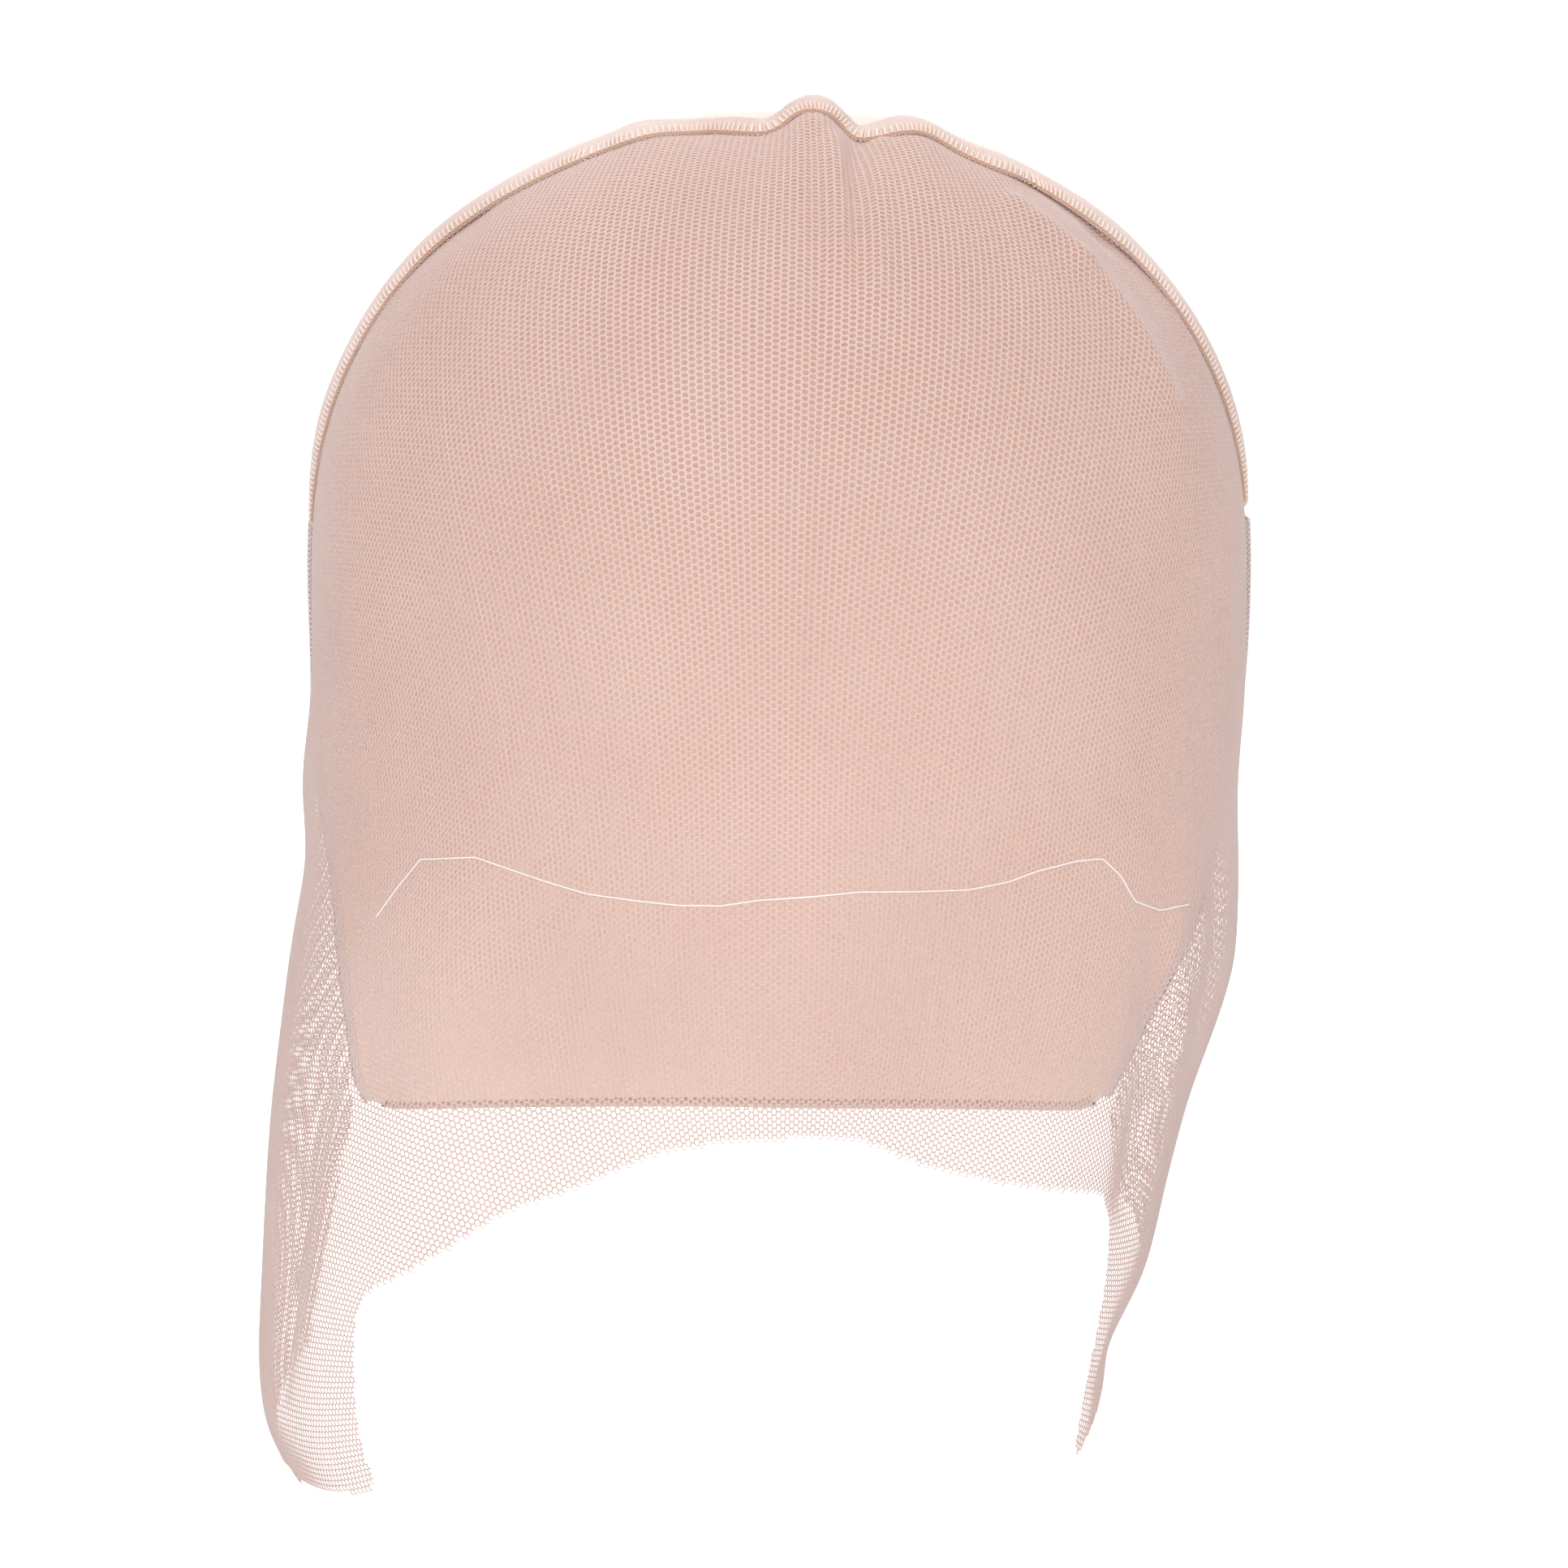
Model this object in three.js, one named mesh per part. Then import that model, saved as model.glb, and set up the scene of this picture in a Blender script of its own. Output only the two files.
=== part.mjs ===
// Wig cap: a sheer front sheet of net, a stretch back and the tape over the seam between them.
// Millimetres, +Z up. The wearer looks along -Y, and the origin is the inside of the crown.
import * as THREE from 'three';

// Head form that the cloth is worn on
const headHalfWidth = 76.3;
const foreheadDepth = 97;
const backDepth = 98;
const crownHeight = 74;
const drapeDrop = 149;
const crownFullness = 2.25;

// Cloth and the room between its layers
const laceWall = 1.0;
const backWall = 1.2;
const tapeWall = 1.0;
const layerGap = 0.6;

// Seam: how far it passes in front of the crown, how fast it runs back on the way down, how fast it
// does so below the brow, and the length of the bend between the two
const seamForward = 44;
const seamLean = 0.6;
const sideLean = 0.35;
const seamBend = 16;
const tapeWidth = 8;
const tapeWave = 1.4;
const tapeWaveLength = 17;
const tapeMargin = 1;
const tapeReach = tapeWidth / 2 + tapeWave + tapeMargin;
const tapeDrop = 78;

// Edges
const napeDrop = 165;
const hemBand = 8;
const leftNotchTurn = THREE.MathUtils.degToRad(-42);
const rightNotchTurn = THREE.MathUtils.degToRad(53);

// Folds are given as shares of the first two, and fade out at the crown within the third, a level
const foldHeight = 4;
const foldWidth = 8;
const crownCalm = 0.09;
const seamCalm = 2 * tapeWidth;

// Mesh density
const sideColumns = 18;
const faceColumns = 26;
const laceRows = 24;
const tailRows = 6;
const napeColumns = 16;
const backRows = 8;
const rowsUnderTape = 3;
const tapeRows = 2;

// Search and measuring steps
const halvings = 40;
const fineSteps = 20;
const normalStep = 0.004;
const poleClear = 0.01;
const normalClear = 0.03;
const highestSeam = 0.02;
const lowestSeam = 1.95;

// One row for each level of the drape. Level 1 is the brow and level 2 the end of the left tail.
// Width, front and back are shares of the head form, square is the corner fullness of the section,
// and nip is how far the section draws in behind the ears.
const leftDrape = [
  { level: 1.0, width: 1.0, front: 1.0, back: 1.0, square: 2.25, nip: 0 },
  { level: 1.14, width: 1.0, front: 0.99, back: 0.98, square: 2.25, nip: 0.06 },
  { level: 1.24, width: 1.022, front: 0.98, back: 0.92, square: 2.25, nip: 0.15 },
  { level: 1.32, width: 1.01, front: 0.98, back: 0.86, square: 2.3, nip: 0.22 },
  { level: 1.41, width: 1.04, front: 0.98, back: 0.79, square: 2.5, nip: 0.3 },
  { level: 1.51, width: 1.062, front: 0.98, back: 0.71, square: 2.8, nip: 0.35 },
  { level: 1.61, width: 1.083, front: 0.98, back: 0.65, square: 3.0, nip: 0.3 },
  { level: 1.79, width: 1.1, front: 0.98, back: 0.57, square: 3.2, nip: 0.15 },
  { level: 1.88, width: 1.106, front: 0.93, back: 0.51, square: 3.2, nip: 0.1 },
  { level: 1.95, width: 1.088, front: 0.89, back: 0.45, square: 3.2, nip: 0.06 },
  { level: 2.0, width: 1.035, front: 0.85, back: 0.41, square: 3.2, nip: 0.05 },
];
const rightDrape = [
  { level: 1.0, width: 1.0, front: 1.0, back: 1.0, square: 2.25, nip: 0 },
  { level: 1.14, width: 0.996, front: 0.99, back: 0.98, square: 2.25, nip: 0.06 },
  { level: 1.24, width: 0.98, front: 0.98, back: 0.92, square: 2.25, nip: 0.14 },
  { level: 1.34, width: 0.982, front: 0.98, back: 0.85, square: 2.25, nip: 0.22 },
  { level: 1.44, width: 0.972, front: 0.98, back: 0.77, square: 2.25, nip: 0.28 },
  { level: 1.51, width: 0.93, front: 0.98, back: 0.71, square: 2.25, nip: 0.3 },
  { level: 1.58, width: 0.878, front: 0.98, back: 0.63, square: 2.25, nip: 0.16 },
  { level: 1.68, width: 0.826, front: 0.98, back: 0.53, square: 2.25, nip: 0 },
  { level: 1.73, width: 0.8, front: 0.93, back: 0.47, square: 2.7, nip: 0 },
  { level: 1.78, width: 0.77, front: 0.85, back: 0.41, square: 3.2, nip: 0 },
  { level: 1.82, width: 0.716, front: 0.76, back: 0.37, square: 4.8, nip: 0 },
  { level: 1.85, width: 0.682, front: 0.7, back: 0.33, square: 8, nip: 0 },
  { level: 1.89, width: 0.684, front: 0.68, back: 0.29, square: 5, nip: 0 },
  { level: 1.93, width: 0.675, front: 0.66, back: 0.25, square: 5, nip: 0 },
  { level: 1.98, width: 0.622, front: 0.64, back: 0.2, square: 8, nip: 0 },
];

// Raw front hem from the left notch to the right one: turn in degrees from the middle of the face
const hemLine = [
  { turn: -42, level: 1.79 },
  { turn: -30, level: 1.749 },
  { turn: -21, level: 1.699 },
  { turn: -10.5, level: 1.661 },
  { turn: -5, level: 1.625 },
  { turn: 7, level: 1.615 },
  { turn: 16, level: 1.642 },
  { turn: 28, level: 1.664 },
  { turn: 53, level: 1.685 },
];

// Lower edges of the two tails, from the notch to the free back edge
const leftTailLine = [
  { turn: -118, level: 1.85 },
  { turn: -105, level: 1.9 },
  { turn: -90, level: 1.96 },
  { turn: -75, level: 1.997 },
  { turn: -42, level: 2.0 },
];
const rightTailLine = [
  { turn: 53, level: 1.95 },
  { turn: 60, level: 1.98 },
  { turn: 75, level: 1.9 },
  { turn: 90, level: 1.8 },
  { turn: 118, level: 1.7 },
];

// Folds, puckers and gathers. Across is the place seen from the front, as a share of the head's half
// width, lean its change for each level further down, and level and tall the middle and half length.
// Sewn folds run on under the tape, the others start below it.
const folds = [
  { name: 'crown pucker', sewn: true, across: 0.072, lean: -0.03, level: 0.25, height: 1.15, wide: 0.45, tall: 0.2 },
  { name: 'left crown ripple', sewn: true, across: -0.27, lean: 0, level: 0.27, height: 0.42, wide: 0.75, tall: 0.2 },
  { name: 'right crown ripple', sewn: true, across: 0.28, lean: 0.1, level: 0.27, height: 0.55, wide: 0.7, tall: 0.22 },
  { name: 'gather beside pucker', sewn: true, across: 0.16, lean: 0.1, level: 0.28, height: -0.22, wide: 0.4, tall: 0.14 },
  { name: 'upper right pocket', sewn: false, across: 0.6, lean: 0.5, level: 0.52, height: 0.55, wide: 0.8, tall: 0.08 },
  { name: 'right pocket', sewn: false, across: 0.76, lean: 0.4, level: 0.72, height: 0.65, wide: 0.9, tall: 0.1 },
  { name: 'right pocket fold', sewn: false, across: 0.68, lean: 0.5, level: 0.62, height: -0.25, wide: 0.5, tall: 0.07 },
  { name: 'left pocket', sewn: false, across: -0.7, lean: -0.4, level: 0.62, height: 0.45, wide: 0.8, tall: 0.09 },
  { name: 'tent over the nose', sewn: false, across: 0, lean: 0, level: 1.46, height: 2.9, wide: 2.4, tall: 0.2 },
  { name: 'left cheek fold', sewn: false, across: -0.7, lean: -0.2, level: 1.6, height: 0.6, wide: 1.0, tall: 0.25 },
  { name: 'left roll valley', sewn: false, across: -1.0, lean: -0.1, level: 1.7, height: -0.7, wide: 0.6, tall: 0.25 },
  { name: 'left tail ridge', sewn: false, across: -0.9, lean: 0.1, level: 1.92, height: 0.5, wide: 0.6, tall: 0.12 },
  { name: 'right turn of the sheet', sewn: false, across: 0.76, lean: -0.2, level: 1.55, height: -0.85, wide: 0.55, tall: 0.14 },
  { name: 'right edge ridge', sewn: false, across: 0.83, lean: -0.3, level: 1.5, height: 0.7, wide: 0.5, tall: 0.2 },
  { name: 'right side ripple', sewn: false, across: 0.9, lean: -0.3, level: 1.42, height: -0.5, wide: 0.5, tall: 0.14 },
];

const quarter = Math.PI / 2;

// Smooth value of one column of a table at a place, through its rows
function tableValue(rows, key, column, place) {
  const last = rows.length - 1;
  let row = 0;
  while (row < last - 1 && place > rows[row + 1][key]) {
    row += 1;
  }
  const before = rows[Math.max(row - 1, 0)];
  const from = rows[row];
  const to = rows[row + 1];
  const after = rows[Math.min(row + 2, last)];
  const span = to[key] - from[key];
  const share = THREE.MathUtils.clamp((place - from[key]) / span, 0, 1);
  const slopeFrom = (to[column] - before[column]) / (to[key] - before[key]) * span;
  const slopeTo = (after[column] - from[column]) / (after[key] - from[key]) * span;
  const cube = share ** 3;
  const square = share ** 2;
  return from[column] * (2 * cube - 3 * square + 1) + slopeFrom * (cube - 2 * square + share)
    + to[column] * (3 * square - 2 * cube) + slopeTo * (cube - square);
}

// Size of the section at a level, on the side that the sign says
function sectionAt(level, side) {
  const rows = side < 0 ? leftDrape : rightDrape;
  const column = (name) => tableValue(rows, 'level', name, level);
  const crown = Math.sin(Math.min(level, 1) * quarter) ** (2 / crownFullness);
  return {
    width: column('width') * headHalfWidth * crown,
    front: column('front') * foreheadDepth * crown,
    back: column('back') * backDepth * crown,
    square: column('square'),
    nip: column('nip'),
  };
}

function heightAt(level) {
  if (level > 1) {
    return -crownHeight - (level - 1) * drapeDrop;
  }
  return -crownHeight * (1 - Math.cos(level * quarter) ** (2 / crownFullness));
}

function levelAtDrop(drop) {
  return 1 + (drop - crownHeight) / drapeDrop;
}

// Point of the head form: level 0 is the crown, turn 0 the middle of the face, left is negative
function formPoint(level, turn) {
  const section = sectionAt(level, turn);
  const power = 2 / section.square;
  const behind = Math.max(0, -Math.cos(turn));
  const side = Math.sign(turn) * Math.abs(Math.sin(turn)) ** power * (1 - section.nip * behind);
  const along = Math.abs(Math.cos(turn)) ** power;
  const depth = Math.cos(turn) > 0 ? -section.front : section.back;
  return new THREE.Vector3(section.width * side, depth * along, heightAt(level));
}

function outward(surface, level, turn) {
  const high = Math.max(level - normalStep, normalStep);
  const around = surface(level, turn + normalStep).sub(surface(level, turn - normalStep));
  const down = surface(level + normalStep, turn).sub(surface(high, turn));
  return down.cross(around).normalize();
}

function foldTurn(fold, level) {
  const across = (fold.across + fold.lean * (level - fold.level)) * headHalfWidth;
  const section = sectionAt(level, across);
  const share = Math.min(1, Math.abs(across) / section.width);
  return Math.sign(across) * Math.asin(share ** (section.square / 2));
}

function liftAt(level, turn) {
  const point = formPoint(level, turn);
  const ahead = Math.max(0, -behindSeam(point));
  const open = 1 - Math.exp(-((ahead / seamCalm) ** 4));
  const calmCrown = 1 - Math.exp(-((level / crownCalm) ** 2));
  let lift = 0;
  for (const fold of folds) {
    const reach = formPoint(level, foldTurn(fold, level)).distanceTo(point) / (fold.wide * foldWidth);
    const length = (level - fold.level) / fold.tall;
    const height = fold.height * foldHeight * (fold.sewn ? calmCrown : open);
    lift += height * Math.exp(-(reach ** 2) - length ** 2);
  }
  return lift;
}

// The draped cloth's inside, with its folds
function drape(level, turn) {
  const safeLevel = Math.max(level, poleClear);
  const normal = outward(formPoint, safeLevel, turn);
  return formPoint(safeLevel, turn).addScaledVector(normal, liftAt(safeLevel, turn));
}

function clothPoint(level, turn, offset) {
  return drape(level, turn).addScaledVector(outward(drape, Math.max(level, normalClear), turn), offset);
}

// Distance behind the seam, square to it as seen from the side
function behindSeam(point) {
  const below = -point.z - crownHeight;
  const bend = Math.hypot(below, seamBend);
  const back = -seamLean * point.z - (seamLean - sideLean) * (below + bend) / 2;
  const lean = seamLean - (seamLean - sideLean) * (1 + below / bend) / 2;
  return (point.y + seamForward - back) / Math.hypot(1, lean);
}

function bisect(test, low, high) {
  let from = low;
  let to = high;
  for (let pass = 0; pass < halvings; pass += 1) {
    const middle = (from + to) / 2;
    if (test(middle)) {
      from = middle;
    } else {
      to = middle;
    }
  }
  return from;
}

function seamLevel(turn, offset) {
  return bisect((level) => behindSeam(formPoint(level, turn)) > offset, highestSeam, lowestSeam);
}

const napeLevel = levelAtDrop(napeDrop);

function seamEnd(side) {
  return side * bisect((turn) => behindSeam(formPoint(napeLevel, side * turn)) < 0, quarter, 2 * quarter);
}

const leftEnd = seamEnd(-1);
const rightEnd = seamEnd(1);

function span(from, to, count) {
  return Array.from({ length: count }, (_, step) => from + (to - from) * step / count);
}

// Lengths along the seam from the first of some turns to each of them
function seamLengths(turns) {
  const places = turns.map((turn) => formPoint(seamLevel(turn, 0), turn));
  const lengths = [0];
  places.slice(1).forEach((place, step) => lengths.push(lengths[step] + place.distanceTo(places[step])));
  return lengths;
}

// Turns that part the seam into equal lengths between two turns, because it runs steeply at the sides
function seamSpan(from, to, count) {
  const fine = span(from, to, fineSteps * count).concat(to);
  const lengths = seamLengths(fine);
  const whole = lengths[lengths.length - 1];
  return span(0, whole, count).map((length) => fine[lengths.findIndex((reached) => reached >= length)]);
}

const laceTurns = [
  ...seamSpan(leftEnd, leftNotchTurn, sideColumns),
  ...span(leftNotchTurn, rightNotchTurn, faceColumns),
  ...seamSpan(rightNotchTurn, rightEnd, sideColumns),
  rightEnd,
];
const leftNotchColumn = sideColumns;
const rightNotchColumn = sideColumns + faceColumns;

// Closed wall between an outside and an inside grid of points. A cell is left out where keep says no.
function wallGeometry(columns, rows, wraps, pointAt, keep) {
  const points = [];
  const known = new Map();
  const layers = { outside: 1, inside: 0 };
  const vertex = (layer, column, row) => {
    const wrapped = wraps ? column % columns : column;
    const key = wraps && row === 0 ? `${layer} pole` : `${layer} ${wrapped} ${row}`;
    if (!known.has(key)) {
      known.set(key, points.length / 3);
      points.push(...pointAt(wrapped, row, layers[layer]).toArray());
    }
    return known.get(key);
  };
  const faces = [];
  const place = (index) => new THREE.Vector3().fromArray(points, 3 * index);
  const addTriangle = (a, b, c) => {
    if (a !== b && b !== c && c !== a) {
      faces.push(a, b, c);
    }
  };
  const addQuad = (a, b, c, d, turned = false) => {
    const [first, second, third, fourth] = turned ? [b, c, d, a] : [a, b, c, d];
    addTriangle(first, second, third);
    addTriangle(first, third, fourth);
  };
  const kept = (column, row) => {
    const inRows = row >= 0 && row < rows;
    const inColumns = wraps || (column >= 0 && column < columns);
    return inRows && inColumns && keep(column, row);
  };
  const rim = (from, to) => {
    const top = [vertex('outside', ...from), vertex('outside', ...to)];
    const under = [vertex('inside', ...from), vertex('inside', ...to)];
    addQuad(top[0], under[0], under[1], top[1]);
  };
  for (let column = 0; column < columns; column += 1) {
    for (let row = 0; row < rows; row += 1) {
      if (!kept(column, row)) {
        continue;
      }
      const corners = [[column, row], [column, row + 1], [column + 1, row + 1], [column + 1, row]];
      const out = corners.map((corner) => vertex('outside', ...corner));
      const inn = corners.map((corner) => vertex('inside', ...corner));
      const [topNear, lowNear, lowFar, topFar] = out.map(place);
      const turned = topNear.distanceTo(lowFar) < topFar.distanceTo(lowNear);
      addQuad(out[3], out[0], out[1], out[2], turned);
      addQuad(inn[1], inn[0], inn[3], inn[2], turned);
      if (!kept(column - 1, row)) {
        rim(corners[0], corners[1]);
      }
      if (!kept(column, row + 1)) {
        rim(corners[1], corners[2]);
      }
      if (!kept(column + 1, row)) {
        rim(corners[2], corners[3]);
      }
      if (!(wraps && row === 0) && !kept(column, row - 1)) {
        rim(corners[3], corners[0]);
      }
    }
  }
  const geometry = new THREE.BufferGeometry();
  geometry.setAttribute('position', new THREE.Float32BufferAttribute(points, 3));
  geometry.setIndex(faces);
  return geometry;
}

function clothMesh(name, geometry, colour, roughness) {
  geometry.computeVertexNormals();
  const material = new THREE.MeshStandardMaterial({ color: colour, roughness, metalness: 0 });
  const mesh = new THREE.Mesh(geometry, material);
  mesh.name = name;
  return mesh;
}

// Front sheet: rows from the seam to the hem, then the two tails below it
function hemLevel(turn) {
  return tableValue(hemLine, 'turn', 'level', THREE.MathUtils.radToDeg(turn));
}

function tailLevel(turn) {
  const line = turn < 0 ? leftTailLine : rightTailLine;
  return tableValue(line, 'turn', 'level', THREE.MathUtils.radToDeg(turn));
}

function laceLevel(turn, row) {
  const hem = hemLevel(turn);
  const top = seamLevel(turn, -layerGap / 2);
  const tapeEdge = Math.min(seamLevel(turn, -tapeReach), (top + hem) / 2);
  if (row <= rowsUnderTape) {
    return top + (tapeEdge - top) * row / rowsUnderTape;
  }
  if (row <= laceRows) {
    return tapeEdge + (hem - tapeEdge) * (row - rowsUnderTape) / (laceRows - rowsUnderTape);
  }
  return hem + (tailLevel(turn) - hem) * (row - laceRows) / tailRows;
}

function laceFront() {
  const rows = laceRows + tailRows;
  const pointAt = (column, row, layer) => {
    const turn = laceTurns[column];
    return clothPoint(laceLevel(turn, row), turn, layer * laceWall);
  };
  const keep = (column, row) => row < laceRows || column < leftNotchColumn || column >= rightNotchColumn;
  const geometry = wallGeometry(laceTurns.length - 1, rows, false, pointAt, keep);
  return clothMesh('lace_front', geometry, 0xe6cfc6, 0.85);
}

// Stretch back: meridians from the crown to the seam in front and to the nape behind
function backCap() {
  const turns = [...laceTurns, ...span(rightEnd, leftEnd + 4 * quarter, napeColumns).slice(1)];
  const pointAt = (column, row, layer) => {
    const turn = turns[column];
    const seamed = column < laceTurns.length;
    const end = seamed ? seamLevel(turn, layerGap / 2) : napeLevel;
    const tapeEdge = seamed ? seamLevel(turn, tapeReach) : napeLevel - hemBand / drapeDrop;
    const level = row <= backRows
      ? tapeEdge * row / backRows
      : tapeEdge + (end - tapeEdge) * (row - backRows) / rowsUnderTape;
    const wrapped = turn > 2 * quarter ? turn - 4 * quarter : turn;
    return clothPoint(level, wrapped, layer * backWall);
  };
  const geometry = wallGeometry(turns.length, backRows + rowsUnderTape, true, pointAt, () => true);
  return clothMesh('back_cap', geometry, 0xf1d8c6, 0.9);
}

// Binding over the seam, waved in front as a hand-fed tape is. It lies on both cloths and ends over
// the ears.
function seamTape() {
  const lift = Math.max(laceWall, backWall) + layerGap;
  const turns = laceTurns.filter((turn) => heightAt(seamLevel(turn, 0)) > -tapeDrop);
  const lengths = seamLengths(turns);
  const pointAt = (column, row, layer) => {
    const turn = turns[column];
    const ahead = Math.max(0, Math.cos(turn));
    const wave = tapeWave * ahead * Math.sin(lengths[column] / tapeWaveLength * 4 * quarter);
    const place = tapeWidth * (row / tapeRows - 0.5) + wave;
    return clothPoint(seamLevel(turn, -place), turn, lift + layer * tapeWall);
  };
  const geometry = wallGeometry(turns.length - 1, tapeRows, false, pointAt, () => true);
  return clothMesh('seam_tape', geometry, 0xf4dccb, 0.8);
}

const wigCap = new THREE.Group();
wigCap.add(backCap(), laceFront(), seamTape());

export default wigCap;
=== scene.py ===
# %% [markdown]
# # Wig cap
# A wig cap is two cloths sewn together over the crown: a sheer net in front and a ribbed stretch back.
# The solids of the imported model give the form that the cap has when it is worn. This script loads
# them, takes their outer skins as patterns, and dresses the patterns with net, ribs and thread.

# %% Load the frame
import bpy
import bmesh
import math
import numpy as np
from mathutils import Matrix, Vector
from mathutils.bvhtree import BVHTree


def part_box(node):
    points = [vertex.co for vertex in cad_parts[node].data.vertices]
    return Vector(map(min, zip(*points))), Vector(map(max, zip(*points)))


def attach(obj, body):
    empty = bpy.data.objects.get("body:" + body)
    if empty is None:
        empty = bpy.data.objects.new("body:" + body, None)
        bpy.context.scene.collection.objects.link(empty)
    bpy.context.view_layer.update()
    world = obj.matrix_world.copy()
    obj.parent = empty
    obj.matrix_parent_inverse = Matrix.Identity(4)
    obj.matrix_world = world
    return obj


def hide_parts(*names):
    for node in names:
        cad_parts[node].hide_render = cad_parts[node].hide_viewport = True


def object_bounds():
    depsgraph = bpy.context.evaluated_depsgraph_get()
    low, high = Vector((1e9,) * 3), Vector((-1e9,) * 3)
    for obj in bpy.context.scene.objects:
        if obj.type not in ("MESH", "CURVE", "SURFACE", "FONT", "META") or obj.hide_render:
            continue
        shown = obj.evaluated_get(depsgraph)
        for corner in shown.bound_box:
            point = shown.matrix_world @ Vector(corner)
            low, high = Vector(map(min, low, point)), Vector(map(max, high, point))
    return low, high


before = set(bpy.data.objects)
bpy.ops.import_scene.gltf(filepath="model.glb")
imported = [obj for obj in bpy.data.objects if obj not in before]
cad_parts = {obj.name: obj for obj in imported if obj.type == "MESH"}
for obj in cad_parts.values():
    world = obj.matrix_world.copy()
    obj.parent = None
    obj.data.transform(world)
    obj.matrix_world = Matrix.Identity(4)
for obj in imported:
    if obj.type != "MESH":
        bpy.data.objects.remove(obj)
cad_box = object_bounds()
millimetre = 0.001
cad_size = [round(x / millimetre) for x in cad_box[1] - cad_box[0]]
print("solids", sorted(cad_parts), "box in mm", cad_size)

# %% [markdown]
# ## Camera
# The camera stands level with the middle of the cap and looks along +Y. The photograph is 1932
# pixels wide, and at the middle of the cap 7.42 of them are one millimetre. The lens follows from
# that and from the distance. A long distance keeps the sides nearly parallel.

# %% Camera
photo_pixels = 1932
pixels_per_millimetre = 7.42
camera_distance = 1.6
camera_place = Vector((0.0008, -camera_distance, -0.110))

camera_data = bpy.data.cameras.new("camera")
photo_width = photo_pixels / pixels_per_millimetre * millimetre
camera_data.lens = camera_data.sensor_width * camera_distance / photo_width
camera = bpy.data.objects.new("camera", camera_data)
camera.location = camera_place
camera.rotation_euler = (math.radians(90), 0, 0)
bpy.context.scene.collection.objects.link(camera)
bpy.context.scene.camera = camera
print("lens", round(camera_data.lens), "mm")

# %% [markdown]
# ## Floor, backdrop and light
# The photograph has a white studio behind the cap and no hard shadow. A floor that curves up into
# a wall has no line at the back, so one bent sheet does for both. Large lamps far to the sides and
# above give the soft light, and a pale world fills the shadows.

# %% Floor and backdrop
floor_level = -0.30
floor_half = 3.0
wall_distance = 2.4
wall_height = 3.0
bend_radius = 0.8
bend_steps = 12


def material(name, colour, roughness):
    """A plain Principled material, to which the next cells add their own nodes."""
    made = bpy.data.materials.new(name)
    made.use_nodes = True
    shader = made.node_tree.nodes["Principled BSDF"]
    shader.inputs["Base Color"].default_value = (*colour, 1)
    shader.inputs["Roughness"].default_value = roughness
    made.diffuse_color = (*colour, 1)
    return made


def mesh_object(name, bm):
    """Turns a bmesh into an object of the scene."""
    mesh = bpy.data.meshes.new(name)
    bm.to_mesh(mesh)
    bm.free()
    ob = bpy.data.objects.new(name, mesh)
    bpy.context.scene.collection.objects.link(ob)
    return ob


studio = bmesh.new()
front = -floor_half
corners = [studio.verts.new((side * floor_half, front, floor_level)) for side in (-1, 1)]
strip = [studio.edges.new(corners)]


def pull(edges, step):
    """Pulls the last edge of a sheet along by one step."""
    made = bmesh.ops.extrude_edge_only(studio, edges=edges)["geom"]
    moved = [v for v in made if isinstance(v, bmesh.types.BMVert)]
    bmesh.ops.translate(studio, verts=moved, vec=step)
    return [e for e in made if isinstance(e, bmesh.types.BMEdge) and all(v in moved for v in e.verts)]


strip = pull(strip, (0, floor_half + wall_distance - bend_radius, 0))
for step in range(bend_steps):
    angle = (step + 0.5) / bend_steps * math.pi / 2
    length = bend_radius * math.pi / 2 / bend_steps
    strip = pull(strip, (0, length * math.cos(angle), length * math.sin(angle)))
pull(strip, (0, 0, wall_height - bend_radius))
bmesh.ops.recalc_face_normals(studio, faces=studio.faces)
backdrop = mesh_object("backdrop", studio)
backdrop.data.materials.append(material("backdrop paper", (0.9, 0.9, 0.9), 0.9))
for face in backdrop.data.polygons:
    face.use_smooth = True
print("backdrop of", len(backdrop.data.polygons), "faces")

# %% Lamps
# Each lamp has its place, its width in metres and its power in watts.
lamps = {
    "key lamp": ((-1.2, -2.4, 1.1), 1.6, 20),
    "fill lamp": ((1.5, -2.2, 0.4), 1.6, 12),
    "front lamp": ((0.0, -2.8, 0.5), 2.0, 26),
    "top lamp": ((0.0, 0.2, 1.9), 1.8, 9),
    "backdrop lamp": ((0.0, 0.9, 1.4), 1.5, 30),
}
cap_middle = Vector((0, 0, -0.11))
wall_middle = Vector((0, wall_distance, -0.1))
world_strength = 0.55
for name, (spot, size, watts) in lamps.items():
    lamp_data = bpy.data.lights.new(name, "AREA")
    lamp_data.size = size
    lamp_data.energy = watts
    lamp = bpy.data.objects.new(name, lamp_data)
    lamp.location = spot
    target = wall_middle if name == "backdrop lamp" else cap_middle
    lamp.rotation_euler = (target - lamp.location).to_track_quat("-Z", "Y").to_euler()
    bpy.context.scene.collection.objects.link(lamp)

world = bpy.data.worlds.new("studio")
world.use_nodes = True
world.node_tree.nodes["Background"].inputs["Color"].default_value = (1, 1, 1, 1)
world.node_tree.nodes["Background"].inputs["Strength"].default_value = world_strength
bpy.context.scene.world = world
bpy.context.scene.view_settings.view_transform = "Standard"
print("lamps", len(lamps))

# %% [markdown]
# ## Patterns
# A tailor works from flat patterns, and so does this script. Each solid is a wall with two skins.
# The outer skin is cut out where the wall turns over its rim, its triangles are paired into
# four-sided faces, and Catmull-Clark smooths them. Its UV map is the flat pattern: a point of the
# map, times the pattern's size, is a place on the cloth before it was sewn.

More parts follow.
